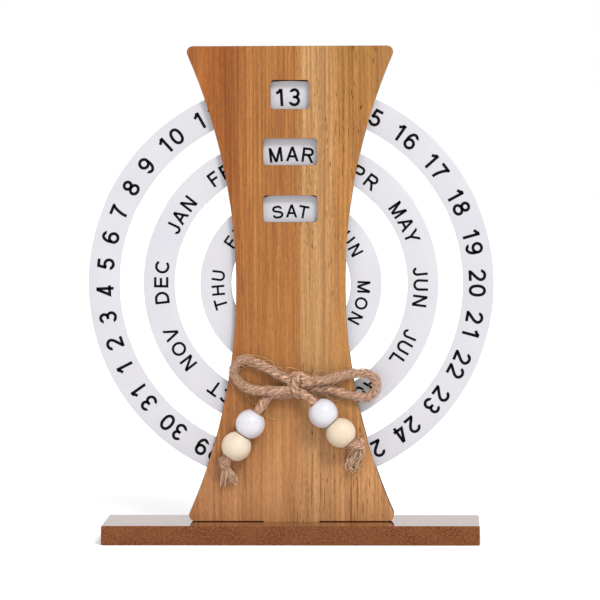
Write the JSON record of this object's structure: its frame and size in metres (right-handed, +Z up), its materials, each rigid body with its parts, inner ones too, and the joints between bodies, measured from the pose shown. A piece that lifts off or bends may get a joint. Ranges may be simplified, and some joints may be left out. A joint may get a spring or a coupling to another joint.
{
  "type": "desk calendar",
  "caption": "Perpetual desk calendar with concentric rings for day, month and weekday that turn between two hourglass panels on a flat base, read through windows, with a twine bow and beads.",
  "frame": {"origin": "centre of the base's underside", "axes": "+Z up, -Y the way the calendar faces, +X to the reader's right"},
  "size_m": [0.167, 0.04, 0.2039],
  "materials": {
    "panel_wood": "satin",
    "spacer_wood": "matte",
    "base_board": "gloss top, matte edges",
    "ring_board": "satin white lacquer",
    "lettering": "matte ink",
    "glue": "satin",
    "twine": "matte",
    "white_bead": "gloss lacquer",
    "natural_bead": "satin"
  },
  "bodies": {
    "stand": {"base": "base_board", "front_panel": "panel_wood", "back_panel": "panel_wood", "top_spacer": "spacer_wood", "upper_outer_guide": "spacer_wood", "upper_inner_guide": "spacer_wood", "centre_hub": "spacer_wood", "lower_inner_guide": "spacer_wood", "lower_outer_guide": "spacer_wood", "bottom_spacer": "spacer_wood", "glue_dot": "glue", "bow_knot": "twine", "bow_loop_left": "twine", "bow_loop_right": "twine", "bow_tail_left": "twine", "bow_tail_right": "twine", "stopper_knot_left": "twine", "frayed_end_left": "twine", "stopper_knot_right": "twine", "frayed_end_right": "twine"},
    "day_ring": {"day_ring": "ring_board"},
    "month_ring": {"month_ring": "ring_board"},
    "weekday_ring": {"weekday_ring": "ring_board"},
    "white_bead_left": {"white_bead_left": "white_bead"},
    "natural_bead_left": {"natural_bead_left": "natural_bead"},
    "white_bead_right": {"white_bead_right": "white_bead"},
    "natural_bead_right": {"natural_bead_right": "natural_bead"}
  },
  "joints": [
    {"name": "day_spin", "type": "hinge", "parent": "stand", "child": "day_ring", "pos_m": [0, 0, 0.10605], "axis": [0, 1, 0], "continuous": true},
    {"name": "month_spin", "type": "hinge", "parent": "stand", "child": "month_ring", "pos_m": [0, 0, 0.10605], "axis": [0, 1, 0], "continuous": true},
    {"name": "weekday_spin", "type": "hinge", "parent": "stand", "child": "weekday_ring", "pos_m": [0, 0, 0.10605], "axis": [0, 1, 0], "continuous": true},
    {"name": "white_bead_left_spin", "type": "hinge", "parent": "stand", "child": "white_bead_left", "pos_m": [-0.0165, -0.0113, 0.04905], "axis": [-0.5299, 0, -0.848], "continuous": true},
    {"name": "natural_bead_left_spin", "type": "hinge", "parent": "stand", "child": "natural_bead_left", "pos_m": [-0.02222, -0.0113, 0.03989], "axis": [-0.5299, 0, -0.848], "continuous": true},
    {"name": "white_bead_right_spin", "type": "hinge", "parent": "stand", "child": "white_bead_right", "pos_m": [0.0134, -0.0113, 0.05345], "axis": [0.6691, 0, -0.7431], "continuous": true},
    {"name": "natural_bead_right_spin", "type": "hinge", "parent": "stand", "child": "natural_bead_right", "pos_m": [0.02063, -0.0113, 0.04542], "axis": [0.6691, 0, -0.7431], "continuous": true}
  ]
}
